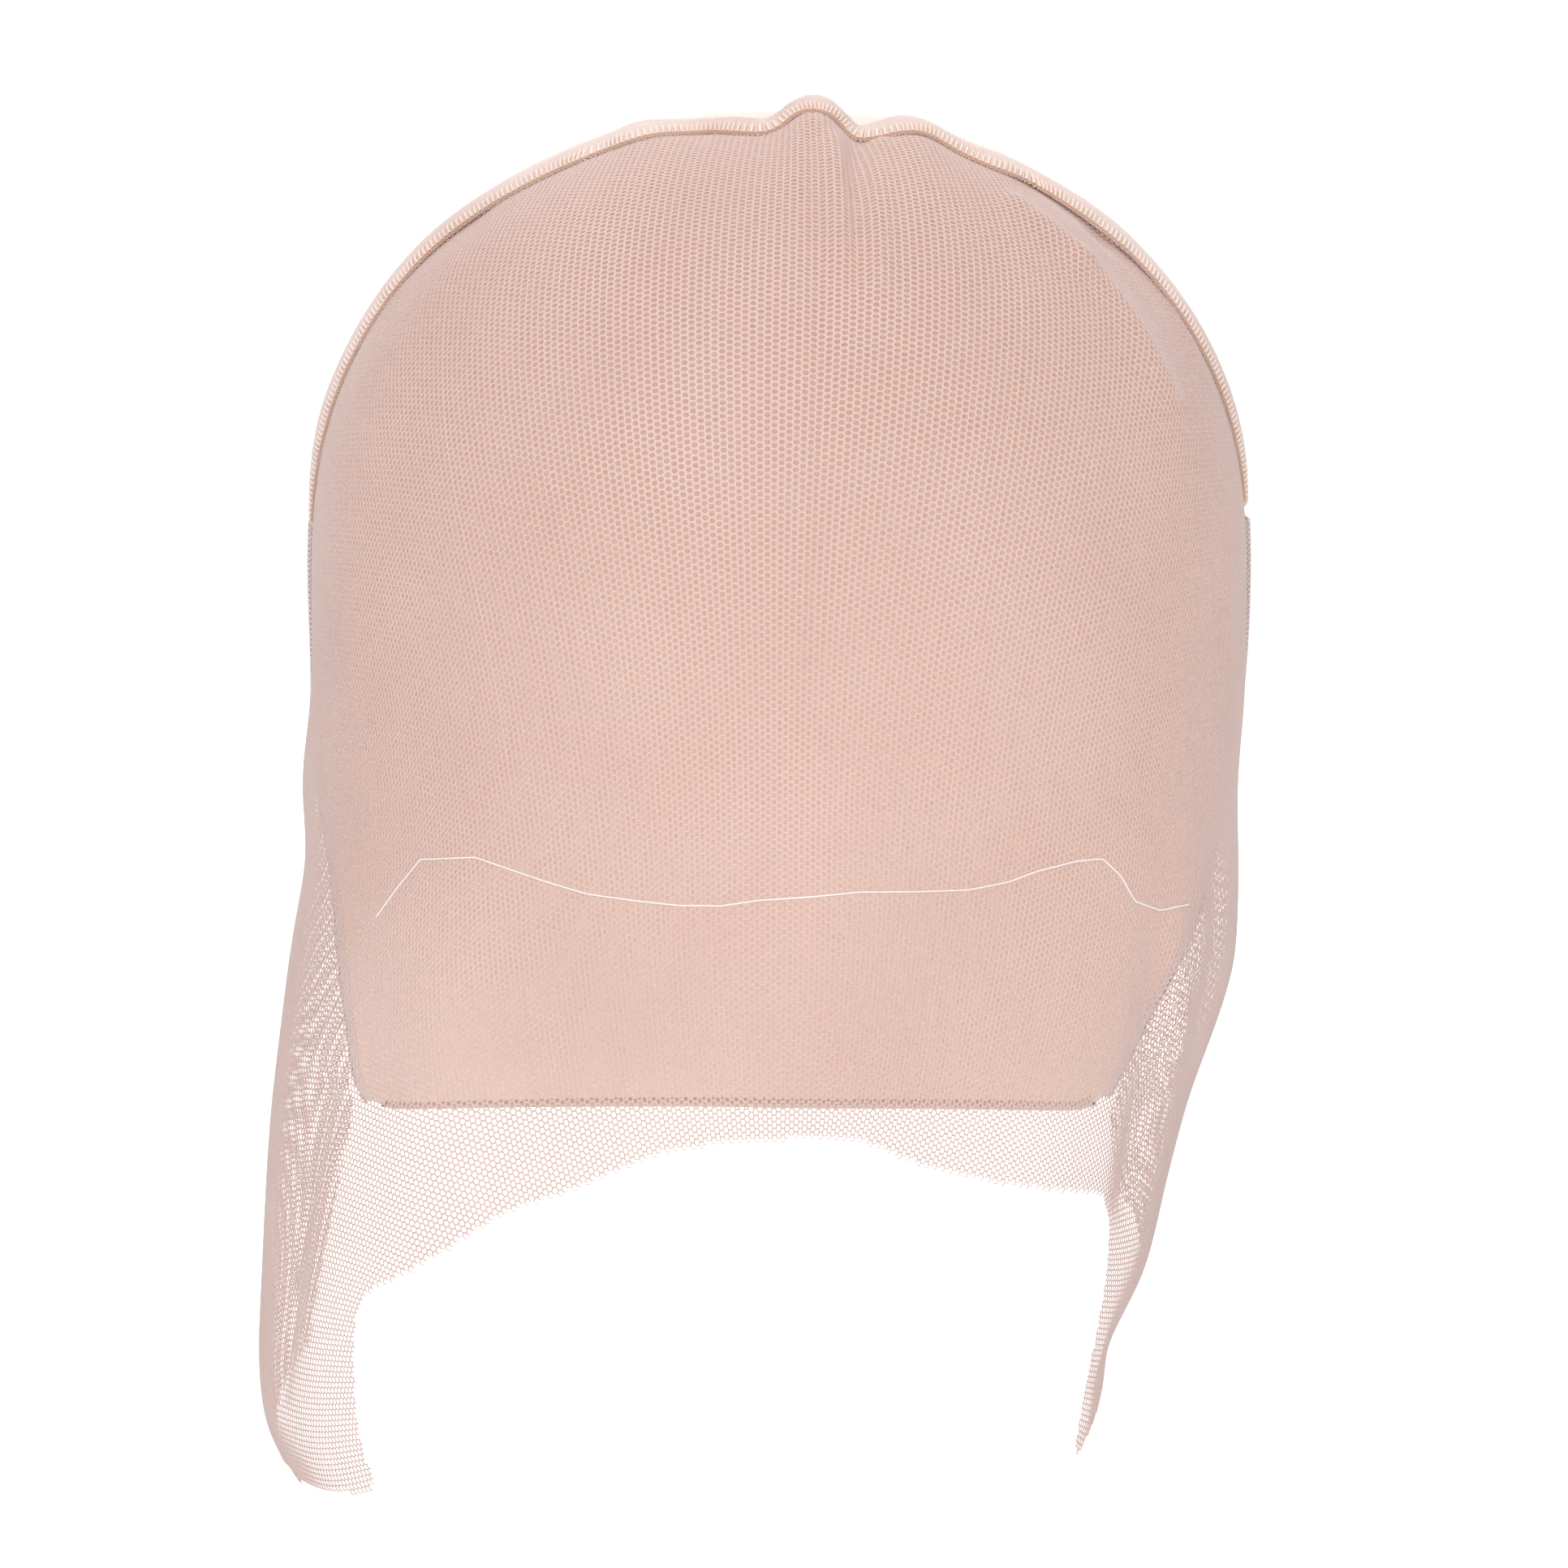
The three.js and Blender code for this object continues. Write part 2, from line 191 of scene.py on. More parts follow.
# %% The outer skin of a solid
rim_turn = math.radians(55)
join_influence = 2.0  # how much a pair counts that goes on with its neighbours' rows
join_angle = 3.0  # pairs of any shape may be joined
tape_probe = 4 * millimetre


def outer_skin(node, start, towards):
    """The skin of a solid that a ray from start meets first, without the rim and the inner skin."""
    bm = bmesh.new()
    bm.from_mesh(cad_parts[node].data)
    bmesh.ops.remove_doubles(bm, verts=bm.verts, dist=1e-6)
    bm.faces.ensure_lookup_table()
    first = BVHTree.FromBMesh(bm).ray_cast(Vector(start), Vector(towards))[2]
    skin = {bm.faces[first]}
    waiting = [bm.faces[first]]
    while waiting:
        for edge in waiting.pop().edges:
            if edge.calc_face_angle(math.pi) < rim_turn:
                new = [f for f in edge.link_faces if f not in skin]
                skin.update(new)
                waiting += new
    bmesh.ops.delete(bm, geom=[f for f in bm.faces if f not in skin], context="FACES")
    bmesh.ops.join_triangles(
        bm, faces=bm.faces, angle_face_threshold=join_angle, angle_shape_threshold=join_angle,
        topology_influence=join_influence,
    )
    four_sided = sum(len(f.verts) == 4 for f in bm.faces)
    print(node, "skin:", len(bm.faces), "faces, of which", four_sided, "four-sided")
    return mesh_object(node + "_pattern", bm)


def evaluated(ob):
    """Applies what the modifiers of an object make of its mesh."""
    made = bpy.data.meshes.new_from_object(ob.evaluated_get(bpy.context.evaluated_depsgraph_get()))
    ob.modifiers.clear()
    ob.data = made


def smoothed(ob, levels):
    """Rounds a skin by Catmull-Clark."""
    rounding = ob.modifiers.new("rounding", "SUBSURF")
    rounding.levels = levels
    rounding.render_levels = levels
    evaluated(ob)
    ob.data.polygons.foreach_set("use_smooth", [True] * len(ob.data.polygons))


lace_cloth = outer_skin("lace_front", (0, -1, -0.07), (0, 1, 0))
back_cloth = outer_skin("back_cap", (0, 1, -0.07), (0, -1, 0))
tape_middle = sum(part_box("seam_tape"), Vector()) / 2
tape_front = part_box("seam_tape")[0].y
tape_cloth = outer_skin("seam_tape", (tape_middle.x, tape_front + tape_probe, 1), (0, 0, -1))

# %% [markdown]
# ## Flat cuts
# Unwrapping finds the flat shape whose faces keep their sizes best. It comes out in a square of one
# unit, turned any way, so it is measured against the real cloth and set upright: its V runs up the
# cloth at the middle and its U runs to the wearer's left.

# %% Unwrap and measure
middle_band = 12 * millimetre
map_margin = 1.02


def unwrap(ob):
    """Gives the whole mesh the flat map whose faces are stretched least."""
    bpy.ops.object.select_all(action="DESELECT")
    bpy.context.view_layer.objects.active = ob
    ob.select_set(True)
    bpy.ops.object.mode_set(mode="EDIT")
    bpy.ops.mesh.select_all(action="SELECT")
    bpy.ops.uv.unwrap(method="MINIMUM_STRETCH", margin=0)
    bpy.ops.object.mode_set(mode="OBJECT")


def read(collection, name, width, kind=float):
    """A property of every item as an array."""
    values = np.empty(len(collection) * width, kind)
    collection.foreach_get(name, values)
    return values.reshape(-1, width) if width > 1 else values


def flat_area(uv, mesh):
    """The area that the faces cover in the UV map."""
    starts = read(mesh.polygons, "loop_start", 1, int)
    totals = read(mesh.polygons, "loop_total", 1, int)
    area = 0.0
    for start, total in zip(starts, totals):
        x, y = uv[start : start + total].T
        area += abs(np.dot(x, np.roll(y, -1)) - np.dot(y, np.roll(x, -1))) / 2
    return area


def set_upright(ob):
    """Turns the map upright, moves it to the corner of the unit square, and returns its metres per unit."""
    mesh = ob.data
    layer = mesh.uv_layers.active
    uv = read(layer.uv, "vector", 2)
    corner = read(mesh.loops, "vertex_index", 1, int)
    place = read(mesh.vertices, "co", 3)[corner]
    middle = np.abs(place[:, 0]) < middle_band
    centred = uv - uv[middle].mean(0)
    height = place[:, 2] - place[middle, 2].mean()
    up = (centred[middle] * height[middle, None]).sum(0)
    up /= np.linalg.norm(up)
    right = np.array([up[1], -up[0]])
    if ((centred @ right) * place[:, 0]).sum() < 0:
        right = -right
    turned = np.stack([centred @ right, centred @ up], 1)
    metres = math.sqrt(sum(p.area for p in mesh.polygons) / flat_area(uv, mesh))
    turned *= metres
    turned -= turned.min(0)
    size = turned.max(0)
    metres_per_unit = map_margin * size.max()
    layer.uv.foreach_set("vector", (turned / metres_per_unit).ravel())
    print(ob.name, "flat cut in mm", [round(x / millimetre) for x in size])
    return metres_per_unit, size


# %% Cut the front and the back
ease_from = 0.45
ease_share = 0.22


def ease(ob):
    """Spreads a map's columns towards its top edge, where the cloth is stretched sideways."""
    layer = ob.data.uv_layers.active
    uv = read(layer.uv, "vector", 2)
    top = uv[:, 1].max()
    near_top = np.clip((uv[:, 1] - ease_from * top) / ((1 - ease_from) * top), 0, 1)
    centre = (uv[:, 0].min() + uv[:, 0].max()) / 2
    uv[:, 0] = centre + (uv[:, 0] - centre) * (1 - ease_share * near_top**2 * (3 - 2 * near_top))
    layer.uv.foreach_set("vector", uv.ravel())


smoothed(lace_cloth, 1)
unwrap(lace_cloth)
lace_metres, lace_size = set_upright(lace_cloth)
ease(lace_cloth)
smoothed(lace_cloth, 1)
smoothed(back_cloth, 1)
unwrap(back_cloth)
back_metres, back_size = set_upright(back_cloth)
smoothed(back_cloth, 1)

# %% [markdown]
# ## Creases of the front sheet
# The worn sheet has soft creases that are too fine for the solid: one runs down from the pucker at
# the crown, and gathers and pockets lie beside it. Each is given by its depth, its half width and
# the places that it runs through, in millimetres from the crown, as seen from the front.

# %% Press the creases into the pattern
# Each crease has its depth, its half width and its course. A negative depth is a fold that stands up.
creases = [
    (0.9, 1.7, [(5.8, -6), (6.2, -20), (6.5, -47), (6.7, -74), (5.0, -90)]),
    (0.5, 1.7, [(-3.0, -88), (-4.6, -115), (-4.2, -139)]),
    (-0.9, 1.8, [(9.0, -7), (10.0, -26)]),
    (0.8, 1.8, [(12.5, -7), (12.8, -30)]),
    (-0.8, 1.8, [(16.2, -7), (15.5, -32)]),
    (1.6, 3.2, [(41.8, -12.8), (51.9, -20.9)]),
    (-0.9, 2.0, [(38.0, -16.5), (49.0, -25.5)]),
    (1.8, 3.4, [(52.6, -21.6), (61.0, -30.0), (69.0, -42.0)]),
    (-0.9, 2.0, [(48.5, -25.5), (57.0, -36.0), (63.0, -48.0)]),
    (1.4, 3.0, [(-50.0, -17.5), (-57.5, -24.0), (-63.5, -34.0)]),
    (-1.0, 2.0, [(63.2, -131), (64.3, -158)]),
    (1.2, 2.2, [(59.6, -146), (59.8, -155), (57.1, -167), (55.3, -177)]),
    (1.0, 2.2, [(-72.5, -158), (-76.0, -180), (-81.0, -209)]),
]


# A crease starts where the normal leans this far towards the camera, and is whole a fade further on.
crease_slope = 0.2
fade_slope = 0.2


def distance_to(line, spots):
    """How far each spot lies from a line of points."""
    nearest = np.full(len(spots), np.inf)
    for start, end in zip(line, line[1:]):
        stretch = end - start
        share = np.clip((spots - start) @ stretch / (stretch @ stretch), 0, 1)
        nearest = np.minimum(nearest, np.linalg.norm(spots - start - share[:, None] * stretch, axis=1))
    return nearest


def press(ob, creases):
    """Pushes creases into the side of a skin that faces the camera."""
    mesh = ob.data
    places, outwards = read(mesh.vertices, "co", 3), read(mesh.vertices, "normal", 3)
    pushed = np.zeros(len(places))
    for depth, half_width, line in creases:
        away = distance_to(np.array(line, float) * millimetre, places[:, [0, 2]])
        pushed += depth * millimetre * np.exp(-((away / (half_width * millimetre)) ** 2))
    pushed *= np.clip((-crease_slope - outwards[:, 1]) / fade_slope, 0, 1)
    mesh.vertices.foreach_set("co", (places - outwards * pushed[:, None]).ravel())
    mesh.update()
    print(len(creases), "creases, at most", round(np.abs(pushed).max() / millimetre, 2), "mm deep")


press(lace_cloth, creases)

# %% [markdown]
# ## Geometry nodes in code
# Two node trees do the dressing. Their nodes are placed by one helper: it makes a node, sets
# its options and values, and joins the sockets that are handed to it.

# %% Helper for node trees


def place(tree, kind, sockets=(), **options):
    """Adds a node. sockets maps a socket's name or number to a value or to another node's output."""
    node = tree.nodes.new(kind)
    for name, value in options.items():
        setattr(node, name, value)
    for name, value in dict(sockets).items():
        if isinstance(value, bpy.types.NodeSocket):
            tree.links.new(value, node.inputs[name])
        else:
            node.inputs[name].default_value = value
    return node


def new_tree(name, inputs):
    """A geometry node tree with these inputs, a geometry before them and one geometry out."""
    tree = bpy.data.node_groups.new(name, "GeometryNodeTree")
    tree.interface.new_socket("Geometry", in_out="OUTPUT", socket_type="NodeSocketGeometry")
    tree.interface.new_socket("Geometry", in_out="INPUT", socket_type="NodeSocketGeometry")
    for title, kind in inputs.items():
        tree.interface.new_socket(title, in_out="INPUT", socket_type=kind)
    return tree, tree.nodes.new("NodeGroupInput").outputs


def use_tree(ob, tree, **values):
    """Puts a node tree on an object with these values for its inputs."""
    modifier = ob.modifiers.new(tree.name, "NODES")
    modifier.node_group = tree
    for item in tree.interface.items_tree:
        if item.in_out == "INPUT" and item.name in values:
            modifier[item.identifier] = values[item.name]


def arithmetic(tree, operation, *values):
    """A Math node's result."""
    return place(tree, "ShaderNodeMath", dict(enumerate(values)), operation=operation).outputs[0]


# %% [markdown]
# ## Cloth colours
# All the threads are dyed the same family of peach, and none is even: the dye is a little paler in
# places and single fibres stand up. One shader group gives that to every material. It reads Object
# coordinates, puts out a colour and a height, and each material keeps its own Principled shader.

# %% Shader group for dyed yarn
yarn = bpy.data.node_groups.new("dyed yarn", "ShaderNodeTree")
for title, kind in {"Tint": "Color", "Shade": "Color", "Patch": "Float", "Fibre": "Float"}.items():
    yarn.interface.new_socket(title, in_out="INPUT", socket_type="NodeSocket" + kind)
for title, kind in {"Colour": "Color", "Fibre height": "Float"}.items():
    yarn.interface.new_socket(title, in_out="OUTPUT", socket_type="NodeSocket" + kind)
dye = yarn.nodes.new("NodeGroupInput").outputs
own = place(yarn, "ShaderNodeTexCoord").outputs["Object"]
patch_noise = {"Vector": own, "Scale": dye["Patch"], "Detail": 3.0}
patches = place(yarn, "ShaderNodeTexNoise", patch_noise).outputs[0]
fibre_noise = {"Vector": own, "Scale": dye["Fibre"], "Detail": 2.0}
fibres = place(yarn, "ShaderNodeTexNoise", fibre_noise).outputs[0]
spread = place(yarn, "ShaderNodeMapRange", {
    "Value": arithmetic(yarn, "ADD", patches, arithmetic(yarn, "MULTIPLY", fibres, 0.5)),
    "From Min": 0.55, "From Max": 0.95,
}).outputs[0]
mixed = place(yarn, "ShaderNodeMix", data_type="RGBA")
for socket, source in (("Factor_Float", spread), ("A_Color", dye["Shade"]), ("B_Color", dye["Tint"])):
    yarn.links.new(source, next(s for s in mixed.inputs if s.identifier == socket))
colour = next(s for s in mixed.outputs if s.identifier == "Result_Color")
place(yarn, "NodeGroupOutput", {"Colour": colour, "Fibre height": fibres})
print("dyed yarn of", len(yarn.nodes), "nodes")

# %% A material of dyed yarn
cloth_roughness = 0.75
sheen_weight = 0.25
sheen_roughness = 0.5
patch_scale = 30


def cloth_material(name, tint, shade, fibre=1800, depth=0.1, relief=None, relief_height=0.1 * millimetre):
    """A dyed cloth whose fibres have the height depth. relief adds the height of a pattern."""
    made = material(name, tint, cloth_roughness)
    tree = made.node_tree
    shader = tree.nodes["Principled BSDF"]
    shader.inputs["Sheen Weight"].default_value = sheen_weight
    shader.inputs["Sheen Roughness"].default_value = sheen_roughness
    dyed = place(tree, "ShaderNodeGroup", node_tree=yarn)
    values = {"Tint": (*tint, 1), "Shade": (*shade, 1), "Patch": patch_scale, "Fibre": fibre}
    for title, value in values.items():
        dyed.inputs[title].default_value = value
    tree.links.new(dyed.outputs["Colour"], shader.inputs["Base Color"])
    height = arithmetic(tree, "MULTIPLY", dyed.outputs["Fibre height"], depth)
    if relief:
        height = arithmetic(tree, "ADD", height, relief(tree))
    bump = place(tree, "ShaderNodeBump", {"Height": height, "Distance": relief_height})
    tree.links.new(bump.outputs[0], shader.inputs["Normal"])
    return made


# %% [markdown]
# ## Laying flat work on the cloth
# The net, the binding and its stitches are made flat, in metres, with their height above the cloth
# in Z. This tree then looks up each point on the pattern by its UV map and lifts it along the normal.

# %% The tree that lays flat work on a pattern
def flat_cut(tree, given):
    """The places of flat work, and the sockets that look them up in the cloth's map."""
    flat = place(tree, "GeometryNodeInputPosition").outputs[0]
    cloth = place(tree, "GeometryNodeObjectInfo", {"Object": given["Cloth"]}).outputs["Geometry"]
    cut = place(tree, "GeometryNodeInputNamedAttribute", {"Name": "UVMap"}, data_type="FLOAT_VECTOR")
    per_metre = arithmetic(tree, "DIVIDE", 1.0, given["Metres"])
    in_map = place(tree, "ShaderNodeVectorMath", {0: flat, "Scale": per_metre}, operation="SCALE")
    return flat, {"Mesh": cloth, "Source UV Map": cut.outputs[0], "Sample UV": in_map.outputs[0]}


def looked_up(tree, sockets):
    """Samples the cloth at the place of its flat cut where the flat work lies."""
    node = place(tree, "GeometryNodeSampleUVSurface", data_type="FLOAT_VECTOR")
    for socket in node.inputs:
        if socket.enabled and socket.identifier in sockets:
            tree.links.new(sockets[socket.identifier], socket)
    return node.outputs


laying, given = new_tree("lay on cloth", {"Cloth": "NodeSocketObject", "Metres": "NodeSocketFloat"})
flat, lookup = flat_cut(laying, given)
base = looked_up(laying, {**lookup, "Value": flat})["Value"]
own_normal = place(laying, "GeometryNodeInputNormal").outputs["Normal"]
normal = looked_up(laying, {**lookup, "Value": own_normal})["Value"]
height = place(laying, "ShaderNodeSeparateXYZ", {0: flat}).outputs["Z"]
lift = place(laying, "ShaderNodeVectorMath", {0: normal, "Scale": height}, operation="SCALE").outputs[0]
worn = place(laying, "ShaderNodeVectorMath", {0: base, 1: lift}, operation="ADD").outputs[0]
own_map = {"Geometry": given["Geometry"], "Name": "UVMap", "Value": lookup["Sample UV"]}
stored = place(
    laying, "GeometryNodeStoreNamedAttribute", own_map, data_type="FLOAT2", domain="CORNER"
).outputs[0]
laid = place(laying, "GeometryNodeSetPosition", {"Geometry": stored, "Position": worn}).outputs[0]
laid = place(laying, "GeometryNodeSetShadeSmooth", {"Geometry": laid}).outputs[0]
place(laying, "NodeGroupOutput", {"Geometry": laid})
print("laying tree of", len(laying.nodes), "nodes")

# %% [markdown]
# ## The net
# The net is knitted in upright columns of six-sided holes, 1.08 mm from hole to hole, and every
# second column sits half a hole higher. A picture of holes would blur at this size, so the strands
# are real. A grid whose second columns are shifted is split into triangles, and its dual mesh has
# one six-sided face for each hole. Each face is shrunk inside its own border and taken out, and the
# border is raised, which leaves strands with a ridge. Only whole holes stay, as at the raw hem.

# %% The tree that knits the net
hole_pitch = 1.08 * millimetre
column_pitch = hole_pitch * math.sqrt(3) / 2
hole_share = 0.70
strand_height = 0.16 * millimetre

knitting, given = new_tree("hexagon net", {
    "Cloth": "NodeSocketObject", "Metres": "NodeSocketFloat", "Width": "NodeSocketFloat",
    "Height": "NodeSocketFloat", "From": "NodeSocketFloat", "To": "NodeSocketFloat",
})
columns = arithmetic(knitting, "CEIL", arithmetic(knitting, "DIVIDE", given["Width"], column_pitch))
rows = arithmetic(knitting, "CEIL", arithmetic(knitting, "DIVIDE", given["Height"], hole_pitch))
grid_width = arithmetic(knitting, "MULTIPLY", columns, column_pitch)
grid_height = arithmetic(knitting, "MULTIPLY", rows, hole_pitch)
grid = place(knitting, "GeometryNodeMeshGrid", {
    "Size X": grid_width, "Size Y": grid_height,
    "Vertices X": arithmetic(knitting, "ADD", columns, 1.0),
    "Vertices Y": arithmetic(knitting, "ADD", rows, 1.0),
}).outputs["Mesh"]
half_width = arithmetic(knitting, "MULTIPLY", grid_width, 0.5)
half_height = arithmetic(knitting, "MULTIPLY", grid_height, 0.5)
spot, lookup = flat_cut(knitting, given)
across = place(knitting, "ShaderNodeSeparateXYZ", {0: spot}).outputs["X"]
column = arithmetic(knitting, "DIVIDE", arithmetic(knitting, "ADD", across, half_width), column_pitch)
second = arithmetic(knitting, "MODULO", arithmetic(knitting, "ROUND", column), 2.0)
shift = arithmetic(knitting, "MULTIPLY", second, hole_pitch / 2)
move = place(knitting, "ShaderNodeCombineXYZ", {
    "X": half_width, "Y": arithmetic(knitting, "ADD", half_height, shift),
}).outputs[0]
grid = place(knitting, "GeometryNodeSetPosition", {"Geometry": grid, "Offset": move}).outputs[0]
split = place(knitting, "GeometryNodeTriangulate", {"Mesh": grid}, quad_method="SHORTEST_DIAGONAL")
holes = place(knitting, "GeometryNodeDualMesh", {"Mesh": split.outputs[0]}).outputs[0]

# %% Keep whole holes, shrink them and raise the strands
sample = looked_up(knitting, lookup)
capture = knitting.nodes.new("GeometryNodeCaptureAttribute")
capture.domain = "POINT"
capture.capture_items.new("BOOLEAN", "Inside")
knitting.links.new(holes, capture.inputs["Geometry"])
knitting.links.new(sample["Is Valid"], capture.inputs["Inside"])
from_left = place(knitting, "FunctionNodeCompare", {0: across, 1: given["From"]}, operation="GREATER_EQUAL")
to_right = place(knitting, "FunctionNodeCompare", {0: across, 1: given["To"]}, operation="LESS_THAN")
in_width = {0: from_left.outputs[0], 1: to_right.outputs[0]}
share = place(knitting, "FunctionNodeBooleanMath", in_width, operation="AND").outputs[0]
kept = {0: capture.outputs["Inside"], 1: share}
dropped = place(knitting, "FunctionNodeBooleanMath", kept, operation="NAND").outputs[0]
cut_away = {"Geometry": capture.outputs["Geometry"], "Selection": dropped}
whole = place(knitting, "GeometryNodeDeleteGeometry", cut_away, domain="FACE").outputs[0]
inner = place(knitting, "GeometryNodeExtrudeMesh", {"Mesh": whole, "Offset Scale": 0.0}, mode="FACES")
shrunk = place(knitting, "GeometryNodeScaleElements", {
    "Geometry": inner.outputs["Mesh"], "Selection": inner.outputs["Top"], "Scale": hole_share,
}).outputs[0]
ridge = place(knitting, "FunctionNodeBooleanMath", {0: inner.outputs["Top"]}, operation="NOT").outputs[0]
raised = place(knitting, "GeometryNodeSetPosition", {
    "Geometry": shrunk, "Selection": ridge, "Offset": (0, 0, strand_height),
}).outputs[0]
opened = {"Geometry": raised, "Selection": inner.outputs["Top"]}
strands = place(knitting, "GeometryNodeDeleteGeometry", opened, domain="FACE").outputs[0]
place(knitting, "NodeGroupOutput", {"Geometry": strands})
print("knitting tree of", len(knitting.nodes), "nodes")

# %% Knit the sheet in five widths
net_widths = ("left_side", "left_front", "middle", "right_front", "right_side")
net_peach = (0.68, 0.505, 0.46)
deep_net_peach = (0.63, 0.455, 0.41)
strand_material = cloth_material("net yarn", net_peach, deep_net_peach, fibre=2500, depth=0.3)
triangles_per_hole = 12
faces_per_hole = 6
net_pieces = []
for number, title in enumerate(net_widths):
    piece = mesh_object("lace_" + title, bmesh.new())
    use_tree(
        piece, knitting, Cloth=lace_cloth, Metres=lace_metres, Width=lace_size[0], Height=lace_size[1],
        From=lace_size[0] * number / len(net_widths), To=lace_size[0] * (number + 1) / len(net_widths),
    )
    use_tree(piece, laying, Cloth=lace_cloth, Metres=lace_metres)
    evaluated(piece)
    piece.data.materials.append(strand_material)
    net_pieces.append(piece)
    count = len(piece.data.polygons) // faces_per_hole
    print(piece.name, "has", count, "holes and", triangles_per_hole * count, "triangles")

# %% [markdown]
# ## Stretch back
# The back is a rib knit, which takes a round form without darts. Its ribs run from the seam to
# the nape, so they are bands of the flat cut's U. A wave of heights draws them, and a second, weaker
# wave across them draws the courses of the knit. The cloth gets its thickness from Solidify.

# %% Ribbed back
rib_pitch = 1.3 * millimetre
back_wall = 1.2 * millimetre
course_share = 0.25


def ribs(tree):
    """Height of the ribs and of the stitches that cross them."""
    uv = place(tree, "ShaderNodeUVMap", uv_map="UVMap").outputs[0]
    parts = place(tree, "ShaderNodeSeparateXYZ", {0: uv}).outputs
    turn = 2 * math.pi * back_metres / rib_pitch
    rib = arithmetic(tree, "SINE", arithmetic(tree, "MULTIPLY", parts["X"], turn))
    course = arithmetic(tree, "SINE", arithmetic(tree, "MULTIPLY", parts["Y"], turn))
    return arithmetic(tree, "ADD", rib, arithmetic(tree, "MULTIPLY", course, course_share))


def border(ob):
    """The points of a skin's border, in order."""
    bm = bmesh.new()
    bm.from_mesh(ob.data)
    start = next(e for e in bm.edges if e.is_boundary)
    walked, vert, edge = [], start.verts[0], start
    while not walked or edge is not start:
        walked.append(vert.co.copy())
        vert = edge.other_vert(vert)
        edge = next(e for e in vert.link_edges if e.is_boundary and e is not edge)
    bm.free()
    return walked


def skin_tree(ob):
    """A skin as a tree of its faces, which finds the nearest point or what a ray meets."""
    bm = bmesh.new()
    bm.from_mesh(ob.data)
    tree = BVHTree.FromBMesh(bm)
    bm.free()
    return tree


def walled(ob, thickness):
    """Gives a skin its thickness, inwards."""
    wall = ob.modifiers.new("wall", "SOLIDIFY")
    wall.thickness = thickness
    wall.offset = -1
    evaluated(ob)


rib_relief = 0.04 * millimetre
peach = (0.93, 0.73, 0.64)
deep_peach = (0.90, 0.68, 0.58)
back_border = border(back_cloth)
back_surface = skin_tree(back_cloth)
walled(back_cloth, back_wall)
back_cloth.name = "stretch_back"
rib_knit = cloth_material("rib knit", peach, deep_peach, relief=ribs, relief_height=rib_relief)
back_cloth.data.materials.append(rib_knit)
print(back_cloth.name, len(back_cloth.data.polygons), "faces with a border of", len(back_border), "points")

# %% [markdown]
# ## Seam binding
# The binding is a narrow knitted tape, folded over the seam and sewn down along its front edge. Its
# ribs are fine enough to be modelled: a flat grid has four columns to a rib, its middle stands up
# like the fold of the tape, and both edges come down on the cloths. The solid's outer skin, unrolled
# into a straight strip, is the pattern that it is laid on.

# %% Unroll the skin of the tape
points_across = 3
heading_reach = 2
end_spare = 1.5 * millimetre


def lines_along(mesh, places):
    """The strip's points in rows of three: front, middle and back, sorted by their turn round the cap."""
    turns = np.arctan2(places[:, 0], -places[:, 1])
    ahead = places[:, 1] + places[:, 2]
    order = np.argsort(turns)
    bm = bmesh.new()
    bm.from_mesh(mesh)
    inner = np.array([not v.is_boundary for v in bm.verts])
    bm.free()
    for end in (order[:points_across], order[-points_across:]):
        inner[end[np.argsort(ahead[end])[1]]] = True
    middle, outer = order[inner[order]], order[~inner[order]]
    gaps = np.linalg.norm(places[outer][:, None] - places[middle][None], axis=2)
    behind = ahead[outer] > ahead[middle[gaps.argmin(1)]]
    return np.stack([outer[~behind], middle, outer[behind]], 1)


def unroll(ob):
    """Lays a skin that crosses the crown straight: U along its middle line and V across it.

    The rows slant at the sides, so each point is measured along and square to the middle line.
    """
    mesh = ob.data
    places = read(mesh.vertices, "co", 3)
    rows = lines_along(mesh, places)
    middle = places[rows[:, 1]]
    along = np.concatenate([[0], np.cumsum(np.linalg.norm(np.diff(middle, axis=0), axis=1))])
    near = np.arange(len(rows))
    following = np.minimum(near + heading_reach, len(rows) - 1)
    heading = middle[following] - middle[np.maximum(near - heading_reach, 0)]
    heading /= np.linalg.norm(heading, axis=1)[:, None]
    offset = places[rows] - middle[:, None]
    slant = (offset * heading[:, None]).sum(2)
    beside = np.sqrt(np.maximum((offset**2).sum(2) - slant**2, 0))
    width = np.median(beside[:, 2] + beside[:, 0])
    margin = max(np.abs(slant[0]).max(), np.abs(slant[-1]).max())
    size = along[-1] + 2 * margin
    uv = np.empty((len(places), 2))
    uv[rows, 0] = np.sort(along[:, None] + slant + margin, axis=0) / size
    uv[rows, 1] = width * np.array([0, 0.5, 1]) / size
    layer = mesh.uv_layers.active or mesh.uv_layers.new(name="UVMap")
    layer.uv.foreach_set("vector", uv[read(mesh.loops, "vertex_index", 1, int)].ravel())
    print(ob.name, "strip in mm", [round(x / millimetre, 1) for x in (size, width, margin)])
    return size, width, 2 * margin + end_spare


strip_size, tape_width, tape_start = unroll(tape_cloth)
tape_length = strip_size - 2 * tape_start
smoothed(tape_cloth, 2)

# %% Ribbed tape
tape_rib = 0.5 * millimetre
rib_height = 0.16 * millimetre
rib_columns = 4
tape_rows = 9
fold_depth = 1.7 * millimetre
fold_roundness = 2.6
end_taper = 22 * millimetre
end_sink = 0.9 * millimetre
edge_inset = 0.15 * millimetre


def fold_height(along, across):
    """How far the tape's surface lies under the pattern: rounded like a fold, thinner at its ends."""
    rounding = abs(2 * across / tape_width - 1) ** fold_roundness
    from_end = min(along, tape_length - along)
    near_end = max(0.0, 1 - from_end / end_taper)
    return -fold_depth * rounding - end_sink * near_end**2 * (1 - rounding)


